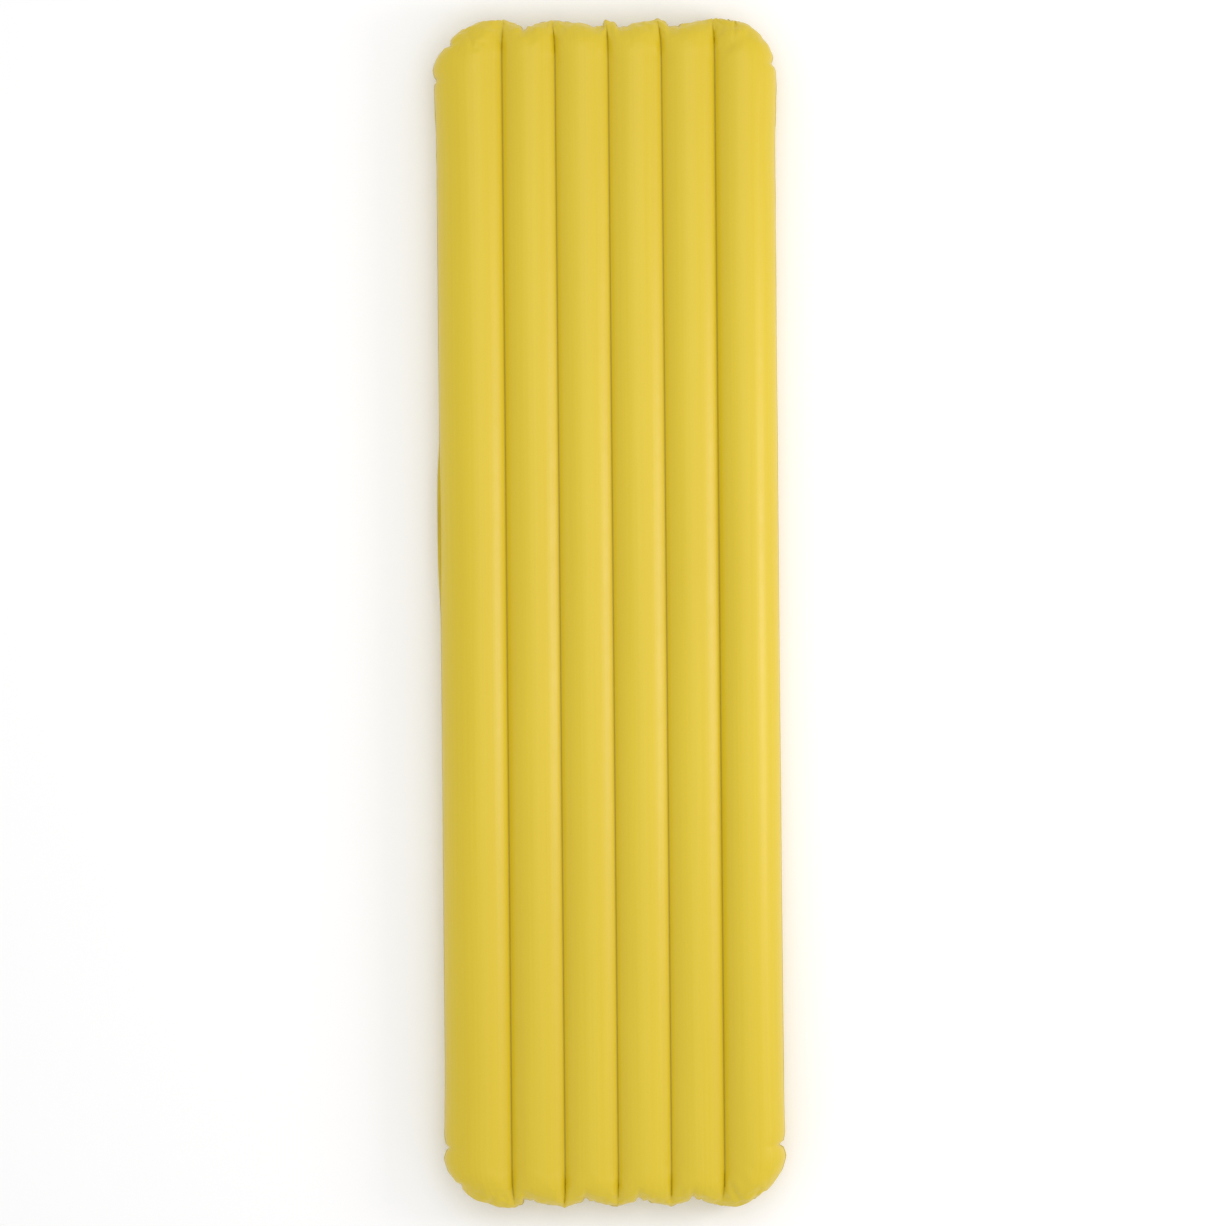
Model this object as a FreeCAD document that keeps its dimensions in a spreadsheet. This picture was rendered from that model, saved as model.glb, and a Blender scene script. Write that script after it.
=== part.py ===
import FreeCAD, Part
import math
import os
import re
import Sketcher

# Inflatable sleeping mat with six lengthwise air tubes.
# Two coated sheets are welded round a flat rim and held together by five I-beam baffles.
# An inflation valve and a deflation valve sit in shallow dimples of the underside near the head.
# Z is up, Y runs along the mat with the head at +Y, and the floor is z = 0. Millimetres and degrees.

V = FreeCAD.Vector

DIMENSIONS = [
    # the inflated envelope
    ("pad_length", 1825.0),
    ("pad_width", 520.0),
    ("end_flare", 5.0),
    ("flare_length", 150.0),
    ("weld_plane_height", 47.2),
    ("tube_pitch", 81.6),
    ("seam_shift", 5.0),
    ("inner_tube_half_width", 49.0),
    ("inner_tube_half_height", 44.4),
    ("outer_tube_half_height", 47.5),
    ("groove_half_height", 26.0),
    ("corner_radius", 75.0),
    ("end_taper", 75.0),
    ("end_dip", 9.0),
    ("end_fullness", 2.6),
    ("sheet_thickness", 0.6),
    ("rim_width", 2.5),
    # the baffles
    ("web_thickness", 0.5),
    ("weld_flange_width", 3.0),
    ("weld_flange_thickness", 0.5),
    ("web_end_gap", 80.0),
    # the dimples that the valves sit in
    ("valve_from_head", 165.0),
    ("dimple_floor_height", 10.0),
    ("dimple_floor_radius", 25.5),
    ("dimple_mouth_radius", 45.5),
    # a valve, with its levels above the outer face of the closed lid
    ("lid_ground_clearance", 2.2),
    ("lid_radius", 17.2),
    ("lid_thickness", 2.4),
    ("lid_edge_radius", 0.6),
    ("lid_dish_radius", 13.0),
    ("lid_dish_depth", 0.5),
    ("rim_level", 2.7),
    ("collar_radius", 16.0),
    ("collar_bore_radius", 15.0),
    ("flange_radius", 21.0),
    ("flange_thickness", 1.2),
    ("collar_top_level", 13.0),
    ("collar_neck_radius", 16.4),
    ("port_radius", 13.2),
    ("port_floor_level", 7.7),
    ("throat_radius", 11.5),
    ("throat_top_level", 12.7),
    ("grille_recess_radius", 12.6),
    ("seat_top_level", 14.3),
    ("seat_lip_radius", 15.9),
    # the plug on the lid and its seal
    ("plug_radius", 12.7),
    ("plug_bore_radius", 9.6),
    ("plug_level", 6.7),
    ("plug_chamfer", 0.5),
    ("seal_level", 4.2),
    ("seal_centre_radius", 12.1),
    ("seal_section_radius", 0.8),
    ("seal_groove_radius", 11.25),
    ("seal_groove_half_width", 0.85),
    # the strap, the fold that the lid turns on and the finger tab
    ("fold_distance", 22.0),
    ("fold_level", 4.2),
    ("knuckle_radius", 1.0),
    ("strap_half_width", 4.0),
    ("strap_inner_radius", 16.0),
    ("strap_outer_radius", 18.0),
    ("strap_thickness", 1.8),
    ("ear_gap", 0.3),
    ("ear_width", 2.4),
    ("tab_thickness", 1.6),
    ("finger_tab_reach", 21.5),
    ("finger_tab_half_width", 5.0),
    # the grille and the one-way flap of the inflation valve
    ("grille_ring_width", 1.6),
    ("grille_bar_width", 1.6),
    ("grille_hub_radius", 2.6),
    ("flap_radius", 13.4),
    ("flap_thickness", 0.8),
    ("flap_gap", 0.3),
    ("flap_hinge_distance", 14.2),
    ("flap_ear_half_width", 3.0),
    ("clip_gap", 0.3),
    ("clip_height", 1.7),
]

TUBES = 6
VALVE_PITCHES = 1.5  # tube pitches from the middle seam to a valve
ARC_STEPS = 14
END_ANGLES = (0, 12, 24, 36, 48, 60, 72, 82, 90)
BAFFLE_NAMES = ("baffle_1", "baffle_2", "baffle_3", "baffle_4", "baffle_5")

doc = FreeCAD.newDocument("InflatableMat")
sheet = doc.addObject("Spreadsheet::Sheet", "Dimensions")
for row, (alias, number) in enumerate(DIMENSIONS, start=1):
    sheet.set("A%d" % row, alias)
    sheet.set("B%d" % row, str(number))
    sheet.setAlias("B%d" % row, alias)
doc.recompute()


def size(alias):
    """A dimension's value in millimetres."""
    return float(sheet.get(alias))


def bound(text):
    """An expression over dimension names, as FreeCAD writes it."""
    return re.sub(r"[a-z][a-z_]+", lambda word: "Dimensions." + word.group(0), text)


def number_of(text):
    """The value of an expression over dimension names."""
    return float(sheet.evalExpression(bound(text)))


# --- sketches and solid features ---------------------------------------------------------------


def new_body(label, base):
    """A body whose origin stands at base, three expressions over dimension names."""
    body = doc.addObject("PartDesign::Body", label)
    for axis, text in zip("xyz", base):
        body.setExpression("Placement.Base." + axis, bound(text))
    return body


def plane_of(body, role):
    return [f for f in body.Origin.OriginFeatures if f.Role == role][0]


def new_sketch(body, name, role, level="0"):
    """A sketch on one of the body's planes, raised by level along the plane's normal."""
    sketch = body.newObject("Sketcher::SketchObject", name)
    sketch.AttachmentSupport = [(plane_of(body, role), "")]
    sketch.MapMode = "FlatFace"
    sketch.setExpression("AttachmentOffset.Base.z", bound(level))
    return sketch


def pin_coordinate(sketch, kind, line, text, name):
    """Hold the start of a line at a distance from the sketch's origin along one axis."""
    if text == "0":
        axis = -2 if kind == "DistanceX" else -1
        sketch.addConstraint(Sketcher.Constraint("PointOnObject", line, 1, axis))
        return
    value = number_of(text)
    index = sketch.addConstraint(Sketcher.Constraint(kind, -1, 1, line, 1, value))
    sketch.renameConstraint(index, name)
    sketch.setExpression("Constraints." + name, bound(text))


def add_polygon(sketch, corners, prefix="p"):
    """A closed outline through corners, each a pair of expressions over dimension names."""
    points = [V(number_of(x), number_of(y), 0) for x, y in corners]
    first = sketch.GeometryCount
    count = len(points)
    for k in range(count):
        sketch.addGeometry(Part.LineSegment(points[k], points[(k + 1) % count]))
    for k in range(count):
        following = first + (k + 1) % count
        sketch.addConstraint(Sketcher.Constraint("Coincident", first + k, 2, following, 1))
    for k, (x, y) in enumerate(corners):
        pin_coordinate(sketch, "DistanceX", first + k, x, "%sx%d" % (prefix, k))
        pin_coordinate(sketch, "DistanceY", first + k, y, "%sy%d" % (prefix, k))


def add_circle(sketch, radius, name, centre=("0", "0")):
    """A circle of a bound radius round a bound centre."""
    x, y = centre
    spot = V(number_of(x), number_of(y), 0)
    line = sketch.addGeometry(Part.Circle(spot, V(0, 0, 1), number_of(radius)))
    index = sketch.addConstraint(Sketcher.Constraint("Radius", line, number_of(radius)))
    sketch.renameConstraint(index, name)
    sketch.setExpression("Constraints." + name, bound(radius))
    for kind, text, end in (("DistanceX", x, "x"), ("DistanceY", y, "y")):
        if text == "0":
            axis = -2 if kind == "DistanceX" else -1
            sketch.addConstraint(Sketcher.Constraint("PointOnObject", line, 3, axis))
            continue
        held = sketch.addConstraint(Sketcher.Constraint(kind, -1, 1, line, 3, number_of(text)))
        sketch.renameConstraint(held, name + end)
        sketch.setExpression("Constraints." + name + end, bound(text))


def rectangle(x_low, x_high, y_low, y_high):
    return [(x_low, y_low), (x_high, y_low), (x_high, y_high), (x_low, y_high)]


def revolve(body, name, corners):
    """Turn an outline of (radius, level) corners a full circle round the body's Z axis."""
    sketch = new_sketch(body, name + "_profile", "XZ_Plane")
    add_polygon(sketch, corners)
    turn = body.newObject("PartDesign::Revolution", name)
    turn.Profile = sketch
    turn.ReferenceAxis = (sketch, ["V_Axis"])
    turn.Angle = 360.0
    sketch.Visibility = False
    return turn


def pad(body, sketch, name, length, both_ways=False):
    """Thicken a sketch by a bound length, to one side or half to each."""
    feature = body.newObject("PartDesign::Pad", name)
    feature.Profile = sketch
    feature.setExpression("Length", bound(length))
    if both_ways:
        feature.SideType = "Symmetric"
    sketch.Visibility = False
    return feature


def pad_block(body, name, x_low, x_high, y_low, y_high, level, height):
    """A rectangular block added to the body, standing on a level."""
    sketch = new_sketch(body, name + "_outline", "XY_Plane", level)
    add_polygon(sketch, rectangle(x_low, x_high, y_low, y_high))
    return pad(body, sketch, name, height)


# --- the inflated envelope ---------------------------------------------------------------------


def tube_section(tube, flare, inset):
    """Half axes, centre and angle span of one tube's upper arc, drawn in by inset."""
    groove = size("groove_half_height")
    across = size("seam_shift") + (tube - (TUBES - 1) / 2) * size("tube_pitch")
    width = size("inner_tube_half_width")
    height = size("inner_tube_half_height")
    if 0 < tube < TUBES - 1:
        start = math.asin((groove - inset) / (height - inset))
        arc = {"x": across, "a": width - inset, "b": height - inset}
        arc["from"], arc["to"] = math.pi - start, start
        return arc
    side = -1 if tube == 0 else 1
    rise = size("outer_tube_half_height")
    inner_edge = across - side * width * math.sqrt(1 - (groove / height) ** 2)
    outer_edge = side * (size("pad_width") / 2 + flare)
    reach = math.cos(math.asin(groove / rise))
    half = abs(outer_edge - inner_edge) / (1 + reach)
    start = math.asin((groove - inset) / (rise - inset))
    arc = {"x": inner_edge + side * half * reach, "a": half - inset, "b": rise - inset}
    arc["from"] = math.pi if side < 0 else math.pi - start
    arc["to"] = start if side < 0 else 0.0
    # the outer tubes narrow toward the end round the mat's corner, from the edge at the groove
    arc["fixed"] = arc["x"] - side * arc["a"] * math.cos(start)
    arc["width"] = arc["a"] * (1 + math.cos(start))
    return arc


def tube_points(tube, head, from_tip, flare, degrees, inset):
    """Points across one tube, at an angle from 0 where the end's taper starts to 90 at its tip."""
    arc = tube_section(tube, flare, inset)
    rounding = 0.0 if degrees == 90 else math.cos(math.radians(degrees))
    advance = math.sin(math.radians(degrees))
    fullness = size("end_fullness")
    height = 0.0 if degrees == 90 else (1 - advance**fullness) ** (1 / fullness)
    start = size("pad_length") / 2 - from_tip
    points = []
    for k in range(ARC_STEPS + 1):
        share = k / ARC_STEPS
        angle = arc["from"] + (arc["to"] - arc["from"]) * share
        x = arc["x"] + arc["a"] * math.cos(angle)
        z = arc["b"] * math.sin(angle)
        if angle in (0.0, math.pi):
            z = 0.0
        if "fixed" in arc:
            narrowing = (size("corner_radius") - inset) / arc["width"] * (1 - rounding)
            x = arc["fixed"] + (x - arc["fixed"]) * (1 - narrowing)
        taper = size("end_taper") - inset - size("end_dip") * math.sin(math.pi * share)
        y = head * (start + taper * advance)
        points.append(V(x, y, size("weld_plane_height") + z * height))
    return points


def smooth_edge(points):
    curve = Part.BSplineCurve()
    curve.interpolate(points)
    return curve.toShape()


def station(head, from_tip, flare, degrees, inset):
    """The six arcs and the five weld lands between them, as one open wire."""
    edges = []
    last = None
    for tube in range(TUBES):
        points = tube_points(tube, head, from_tip, flare, degrees, inset)
        if last is not None:
            edges.append(Part.LineSegment(last, points[0]).toShape())
        edges.append(smooth_edge(points))
        last = points[-1]
    return Part.Wire(edges)


def closed_solid(faces):
    shell = Part.makeShell(faces)
    shell.sewShape()
    return Part.makeSolid(shell)


def upper_envelope(inset):
    """The solid between the weld plane and the upper sheet's face, drawn in by inset."""
    taper = size("end_taper")
    straight = taper + size("flare_length")
    flare = size("end_flare")
    middle = [
        station(-1, taper, flare, 0, inset),
        station(-1, straight, 0.0, 0, inset),
        station(1, straight, 0.0, 0, inset),
        station(1, taper, flare, 0, inset),
    ]
    faces = list(Part.makeLoft(middle, False, True).Faces)
    for head in (-1, 1):
        wires = [station(head, taper, flare, degrees, inset) for degrees in END_ANGLES]
        faces += Part.makeLoft(wires, False, False).Faces
    shell = Part.makeShell(faces)
    shell.sewShape()
    level = size("weld_plane_height")
    edges = [e for e in shell.Edges if abs(e.BoundBox.ZMax - level) < 1e-4]
    base = Part.Face(Part.Wire(Part.__sortEdges__(edges)))
    return closed_solid(list(shell.Faces) + [base])


def rim_outline():
    """The flat weld rim's outer edge, rim_width outside the envelope."""
    taper = size("end_taper")
    flare = size("end_flare")
    wide = size("rim_width")
    edges = []
    for head in (1, -1):
        corner_a, corner_b = [], []
        for degrees in END_ANGLES:
            cosine = 0.0 if degrees == 90 else math.cos(math.radians(degrees))
            push = V(wide * cosine, head * wide * math.sin(math.radians(degrees)), 0)
            left = tube_points(0, head, taper, flare, degrees, 0.0)[0]
            right = tube_points(TUBES - 1, head, taper, flare, degrees, 0.0)[-1]
            corner_a.append(left + V(-push.x, push.y, 0))
            corner_b.append(right + push)
        edges += [smooth_edge(corner_a), smooth_edge(corner_b)]
        last = None
        for tube in range(TUBES):
            lift = V(0, head * wide, 0)
            points = [p + lift for p in tube_points(tube, head, taper, flare, 90, 0.0)]
            if last is not None:
                edges.append(Part.LineSegment(last, points[0]).toShape())
            edges.append(smooth_edge(points))
            last = points[-1]
    level = size("weld_plane_height")
    near = size("pad_length") / 2 - taper
    far = near - size("flare_length")
    waist = size("pad_width") / 2 + wide
    for side in (-1, 1):
        turns = [(waist + flare, near), (waist, far), (waist, -far), (waist + flare, -near)]
        corners = [V(side * x, y, level) for x, y in turns]
        edges += [Part.LineSegment(a, b).toShape() for a, b in zip(corners, corners[1:])]
    return Part.Face(Part.Wire(Part.__sortEdges__(edges)))


def shape_object(label, shape):
    thing = doc.addObject("Part::Feature", label)
    thing.Shape = shape
    return thing


def valve_centres():
    """Where the two valves' axes stand, on the second and the fifth tube."""
    y = size("pad_length") / 2 - size("valve_from_head")
    reach = VALVE_PITCHES * size("tube_pitch")
    return [V(size("seam_shift") - reach, y, 0), V(size("seam_shift") + reach, y, 0)]


def dimple(centre, lift):
    """The space under a valve's dimple, raised by lift."""
    floor = size("dimple_floor_height")
    mouth = size("dimple_mouth_radius")
    slope = (mouth - size("dimple_floor_radius")) / floor
    below = 2 * floor  # the space runs on this far under the ground
    cone = Part.makeCone(mouth + slope * below, size("dimple_floor_radius"), floor + below)
    cone.translate(centre + V(0, 0, lift - below))
    return cone


def make_skins():
    """The upper and the lower sheet, each a formed shell with half of the weld rim."""
    thick = size("sheet_thickness")
    level = size("weld_plane_height")
    outside = upper_envelope(0.0)
    inside = upper_envelope(thick)
    flange = rim_outline().extrude(V(0, 0, thick))
    upper = outside.fuse(flange).cut(inside)
    middle = V(0, 0, level)
    lower_outside = outside.mirror(middle, V(0, 0, 1))
    lower_inside = inside.mirror(middle, V(0, 0, 1))
    lower_flange = flange.mirror(middle, V(0, 0, 1))
    reach = size("pad_length")
    below = size("outer_tube_half_height")
    ground = Part.makeBox(2 * reach, 2 * reach, below, V(-reach, -reach, -below))
    ground_inside = ground.translated(V(0, 0, thick))
    for centre in valve_centres():
        lower_outside = lower_outside.cut(dimple(centre, 0.0))
        lower_inside = lower_inside.cut(dimple(centre, thick))
    lower_outside = lower_outside.cut(ground)
    lower_inside = lower_inside.cut(ground_inside)
    lower = lower_outside.fuse(lower_flange).cut(lower_inside)
    for centre in valve_centres():
        hole = Part.makeCylinder(size("collar_radius"), level, centre)
        lower = lower.cut(hole)
    shape_object("top_skin", upper)
    shape_object("bottom_skin", lower)


# --- the baffles -------------------------------------------------------------------------------


def make_baffle(label, index):
    """An I-beam strip: a thin web with a narrow weld flange along each sheet."""
    height = "(2 * (groove_half_height - sheet_thickness))"
    pitches = index - (len(BAFFLE_NAMES) - 1) / 2
    across = "seam_shift + %g * tube_pitch - weld_flange_width / 2" % pitches
    up = "weld_plane_height - groove_half_height + sheet_thickness"
    body = new_body(label, (across, "0", up))
    sketch = new_sketch(body, label + "_section", "XZ_Plane")
    wide = "weld_flange_width"
    left = "(weld_flange_width - web_thickness) / 2"
    right = "(weld_flange_width + web_thickness) / 2"
    low = "weld_flange_thickness"
    high = height + " - weld_flange_thickness"
    corners = [("0", "0"), (wide, "0"), (wide, low), (right, low), (right, high), (wide, high)]
    corners += [(wide, height), ("0", height), ("0", high), (left, high), (left, low), ("0", low)]
    add_polygon(sketch, corners)
    pad(body, sketch, label + "_beam", "pad_length - 2 * web_end_gap", both_ways=True)
    return body


# --- a valve -----------------------------------------------------------------------------------


def valve_base(side):
    """Where a valve's own origin stands: on its axis, at the closed lid's outer face."""
    across = "seam_shift + %g * tube_pitch" % (VALVE_PITCHES * side)
    return (across, "pad_length / 2 - valve_from_head", "lid_ground_clearance")


SHEET_FACE = "(dimple_floor_height + sheet_thickness - lid_ground_clearance)"


def make_collar(name, base):
    """The soft collar, with the flange that is welded to the inside of the lower sheet."""
    body = new_body(name + "_collar", base)
    top = SHEET_FACE + " + flange_thickness"
    revolve(body, name + "_collar_ring", [
        ("collar_bore_radius", "rim_level"),
        ("collar_radius", "rim_level"),
        ("collar_radius", SHEET_FACE),
        ("flange_radius", SHEET_FACE),
        ("flange_radius", top),
        ("collar_neck_radius", top),
        ("collar_neck_radius", "collar_top_level"),
        ("collar_bore_radius", "collar_top_level"),
    ])
    return body


def make_seat(name, base, with_clip):
    """The hard insert in the collar: the plug's port, the throat above it and the top lip."""
    body = new_body(name + "_seat", base)
    revolve(body, name + "_seat_ring", [
        ("port_radius", "rim_level"),
        ("collar_bore_radius", "rim_level"),
        ("collar_bore_radius", "collar_top_level"),
        ("seat_lip_radius", "collar_top_level"),
        ("seat_lip_radius", "seat_top_level"),
        ("grille_recess_radius", "seat_top_level"),
        ("grille_recess_radius", "throat_top_level"),
        ("throat_radius", "throat_top_level"),
        ("throat_radius", "port_floor_level"),
        ("port_radius", "port_floor_level"),
    ])
    if with_clip:
        near = "flap_hinge_distance + clip_gap"
        wide = "flap_ear_half_width"
        far = "seat_lip_radius - clip_gap"
        pad_block(body, name + "_clip", near, far, "-" + wide, wide, "seat_top_level", "clip_height")
    return body


def make_lid(name, base):
    """The lid: a dished disc with a hollow plug, two hinge ears and a finger tab."""
    body = new_body(name + "_lid", base)
    groove_low = "seal_level - seal_groove_half_width"
    groove_high = "seal_level + seal_groove_half_width"
    revolve(body, name + "_lid_disc", [
        ("0", "lid_dish_depth"),
        ("lid_dish_radius - lid_dish_depth", "lid_dish_depth"),
        ("lid_dish_radius", "0"),
        ("lid_radius - lid_edge_radius", "0"),
        ("lid_radius", "lid_edge_radius"),
        ("lid_radius", "lid_thickness"),
        ("plug_radius", "lid_thickness"),
        ("plug_radius", groove_low),
        ("seal_groove_radius", groove_low),
        ("seal_groove_radius", groove_high),
        ("plug_radius", groove_high),
        ("plug_radius", "plug_level - plug_chamfer"),
        ("plug_radius - plug_chamfer", "plug_level"),
        ("plug_bore_radius", "plug_level"),
        ("plug_bore_radius", "lid_thickness"),
        ("0", "lid_thickness"),
    ])
    wide = "finger_tab_half_width"
    inside = "lid_dish_radius"
    pad_block(body, name + "_finger_tab", inside, "finger_tab_reach", "-" + wide, wide,
              "lid_dish_depth", "tab_thickness")
    ear_near = "(strap_half_width + ear_gap)"
    ear_far = "(strap_half_width + ear_gap + ear_width)"
    outer = "-(fold_distance + knuckle_radius)"
    pad_block(body, name + "_hinge_tab", outer, "-lid_dish_radius", "-" + ear_far, ear_far,
              "lid_dish_depth", "tab_thickness")
    for word, low, high in (("left", "-" + ear_far, "-" + ear_near), ("right", ear_near, ear_far)):
        inner = "-(fold_distance - knuckle_radius)"
        pad_block(body, name + "_ear_" + word, outer, inner, low, high,
                  "lid_dish_depth", "fold_level - lid_dish_depth")
        knuckle(body, name + "_knuckle_" + word, high, "ear_width")
    return body


def knuckle(body, name, y_high, length):
    """A short round bead along the fold line, from y_high back toward -Y."""
    sketch = new_sketch(body, name + "_circle", "XZ_Plane", "-(" + y_high + ")")
    add_circle(sketch, "knuckle_radius", "bead", ("-fold_distance", "fold_level"))
    return pad(body, sketch, name, length)


def make_seal(name, base):
    """The sealing ring in the plug's groove."""
    x, y, z = base
    body = new_body(name + "_seal", (x, y, z + " + seal_level"))
    ring = body.newObject("PartDesign::AdditiveTorus", name + "_seal_ring")
    ring.setExpression("Radius1", bound("seal_centre_radius"))
    ring.setExpression("Radius2", bound("seal_section_radius"))
    return body


def make_strap(name, base):
    """The strap: a ring round the collar and a tongue out to the fold that the lid turns on."""
    body = new_body(name + "_strap", base)
    low = "fold_level - strap_thickness / 2"
    sketch = new_sketch(body, name + "_strap_ring_outline", "XY_Plane", low)
    add_circle(sketch, "strap_outer_radius", "outer")
    add_circle(sketch, "strap_inner_radius", "inner")
    pad(body, sketch, name + "_strap_ring", "strap_thickness")
    wide = "strap_half_width"
    inner = "-(strap_inner_radius + strap_outer_radius) / 2"
    pad_block(body, name + "_tongue", "-fold_distance", inner, "-" + wide, wide, low,
              "strap_thickness")
    knuckle(body, name + "_strap_knuckle", wide, "2 * strap_half_width")
    return body


def make_grille(name, base):
    """The snap-in grille that keeps the flap from being blown out through the throat."""
    body = new_body(name + "_grille", base)
    depth = "seat_top_level - throat_top_level"
    sketch = new_sketch(body, name + "_grille_outline", "XY_Plane", "throat_top_level")
    add_circle(sketch, "grille_recess_radius", "outer")
    add_circle(sketch, "grille_recess_radius - grille_ring_width", "inner")
    pad(body, sketch, name + "_grille_ring", depth)
    reach = "(grille_recess_radius - grille_ring_width / 2)"
    half = "grille_bar_width / 2"
    pad_block(body, name + "_bar_across", "-" + reach, reach, "-" + half, half,
              "throat_top_level", depth)
    pad_block(body, name + "_bar_along", "-" + half, half, "-" + reach, reach,
              "throat_top_level", depth)
    hub = new_sketch(body, name + "_hub_circle", "XY_Plane", "throat_top_level")
    add_circle(hub, "grille_hub_radius", "hub")
    pad(body, hub, name + "_hub", depth)
    return body


def make_flap(name, base):
    """The one-way flap that lies over the seat and lifts inward."""
    body = new_body(name + "_flap", base)
    level = "seat_top_level + flap_gap"
    sketch = new_sketch(body, name + "_flap_circle", "XY_Plane", level)
    add_circle(sketch, "flap_radius", "disc")
    pad(body, sketch, name + "_flap_disc", "flap_thickness")
    wide = "flap_ear_half_width"
    pad_block(body, name + "_flap_ear", "flap_radius / 2", "flap_hinge_distance",
              "-" + wide, wide, level, "flap_thickness")
    return body


# --- the mat -----------------------------------------------------------------------------------

make_skins()
for number, label in enumerate(BAFFLE_NAMES):
    make_baffle(label, number)
for name, side in (("inflation", -1), ("deflation", 1)):
    base = valve_base(side)
    make_collar(name, base)
    make_seat(name, base, with_clip=(name == "inflation"))
    make_lid(name, base)
    make_seal(name, base)
    make_strap(name, base)
make_grille("inflation", valve_base(-1))
make_flap("inflation", valve_base(-1))
doc.recompute()

pieces = [o for o in doc.Objects if o.TypeId in ("PartDesign::Body", "Part::Feature")]
os.makedirs("parts", exist_ok=True)
for thing in doc.Objects:
    if "Invalid" in thing.State or "Error" in thing.State:
        raise RuntimeError("%s did not recompute: %s" % (thing.Label, thing.State))
for piece in pieces:
    shape = piece.Shape
    if shape.isNull() or not shape.isValid() or len(shape.Solids) != 1:
        raise RuntimeError("%s is not one valid solid" % piece.Label)
    shape.exportStep("parts/%s.step" % piece.Label)
    print(piece.Label, round(shape.Volume, 1), shape.BoundBox)
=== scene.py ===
import math

import bmesh
import bpy
import numpy as np
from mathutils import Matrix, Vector


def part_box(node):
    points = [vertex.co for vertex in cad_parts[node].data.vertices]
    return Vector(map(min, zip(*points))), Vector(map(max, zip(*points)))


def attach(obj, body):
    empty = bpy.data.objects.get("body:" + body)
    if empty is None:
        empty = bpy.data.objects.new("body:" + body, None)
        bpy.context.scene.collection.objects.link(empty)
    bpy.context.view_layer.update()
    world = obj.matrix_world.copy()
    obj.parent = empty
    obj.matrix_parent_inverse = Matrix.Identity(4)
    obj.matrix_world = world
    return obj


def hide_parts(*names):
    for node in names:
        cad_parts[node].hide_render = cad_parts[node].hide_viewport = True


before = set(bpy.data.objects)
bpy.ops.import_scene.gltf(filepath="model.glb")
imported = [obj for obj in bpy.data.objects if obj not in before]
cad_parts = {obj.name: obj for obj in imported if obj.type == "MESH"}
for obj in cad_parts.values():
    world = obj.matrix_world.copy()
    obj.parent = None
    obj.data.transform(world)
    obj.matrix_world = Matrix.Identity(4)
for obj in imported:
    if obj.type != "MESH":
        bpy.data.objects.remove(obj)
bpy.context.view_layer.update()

# Inflated sleeping mat: six lengthwise air tubes, a welded rim, puckered ends and two lidded valves.
# Metres, in the frame of the CAD part: Z up, the head end at +Y.

# --- places and sizes --------------------------------------------------------------------------

TUBES = 6
BAFFLES = [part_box("baffle_%d" % (k + 1)) for k in range(TUBES - 1)]
SEAMS = [(low.x + high.x) / 2 for low, high in BAFFLES]
PITCH = SEAMS[1] - SEAMS[0]
SKIN_LOW, SKIN_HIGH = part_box("top_skin")
MID = SKIN_LOW.z  # the level of the welded rim
SHEET = 0.0006  # the thickness of a CAD sheet
RIM = 0.0025  # how far the CAD's rim stands out
FLARE, FLARE_LENGTH = 0.005, 0.15  # how far the sides swell out toward the ends
HALF_LENGTH = SKIN_HIGH.y - RIM
HALF_WIDTH = SKIN_HIGH.x - RIM - FLARE
INNER_HEIGHT = 0.0444  # half the height of an inner tube
OUTER_HEIGHT = MID + 0.0003  # half that of an outer tube, which the floor presses flat below
BULGE = 0.003  # how far the sheets swell up over the baffles' edges
GROOVE = BAFFLES[0][1].z + SHEET + BULGE - MID  # how high above the rim's level the seams run
LAND = 0.0003  # half the width of the weld line between two tubes
CORNER = 0.075  # the corners' radius, seen from above
TAPER = 0.075  # the length over which the ends bend down to the rim
DIP = 0.0115  # how far a tube's end is drawn in between two seams
CHAMFER = 0.0065  # how far the puckered corners fall inside a true quarter circle
VALVES = ("inflation", "deflation")
COLLARS = [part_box(name + "_collar") for name in VALVES]
VALVE_AXES = [((low.x + high.x) / 2, (low.y + high.y) / 2) for low, high in COLLARS]
WELL_RADIUS = 0.01605  # the well that a collar stands in, just wider than the collar
WELL_DEPTH, WELL_LEVEL = 0.07, 0.014
DIMPLE_FLOOR, DIMPLE_MOUTH, DIMPLE_DEPTH = 0.0257, 0.047, 0.0100  # two radii and how deep it is

# Where each inner tube's end is tucked deepest, as a share of its width from its left seam
TUCKS = {1: (0.45, 0.82, 0.32, 0.30), -1: (0.30, 0.43, 0.43, 0.45)}
# How far an outer tube's end falls back toward its corner, as a share of DIP
FALLS = {(0, 1): 0.6, (0, -1): 0.55, (5, 1): 0.15, (5, -1): 0.15}
# Notches near the four corners: side, end, distance along the edge from where the corner's bend
# starts, depth and half width
NOTCHES = [
    (-1, 1, 0.048, 0.010, 0.010), (-1, 1, -0.016, 0.006, 0.007),
    (1, 1, 0.104, 0.013, 0.006), (1, 1, 0.006, 0.007, 0.014),
    (-1, -1, -0.017, 0.007, 0.008), (-1, -1, 0.051, 0.008, 0.010),
    (1, -1, -0.018, 0.009, 0.008), (1, -1, 0.072, 0.006, 0.009),
]
# How far each seam's last stretch leans to the right at its tip, and over what length
LEANS = {1: (0.003, -0.0045, -0.003, -0.0055, -0.003), -1: (0.0045, -0.0015, -0.0015, -0.0015, -0.0045)}
LEAN_LENGTH = 0.022
# Length, depth and half width of the crease in a tuck, and of a shallower one beside it
TUCK_CREASE = (0.024, 0.0045, 0.0028)
SIDE_CREASE = (0.018, 0.0020, 0.0024)
SIDE_STEP = 0.013
NOTCH_CREASE_LENGTH = 0.030
CREASE_START = 0.012  # how far outside the outline a crease begins
CREASE_REACH = 0.040  # how far above and below the rim the creases fade away


# --- the mat's grid of points ------------------------------------------------------------------

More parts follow.
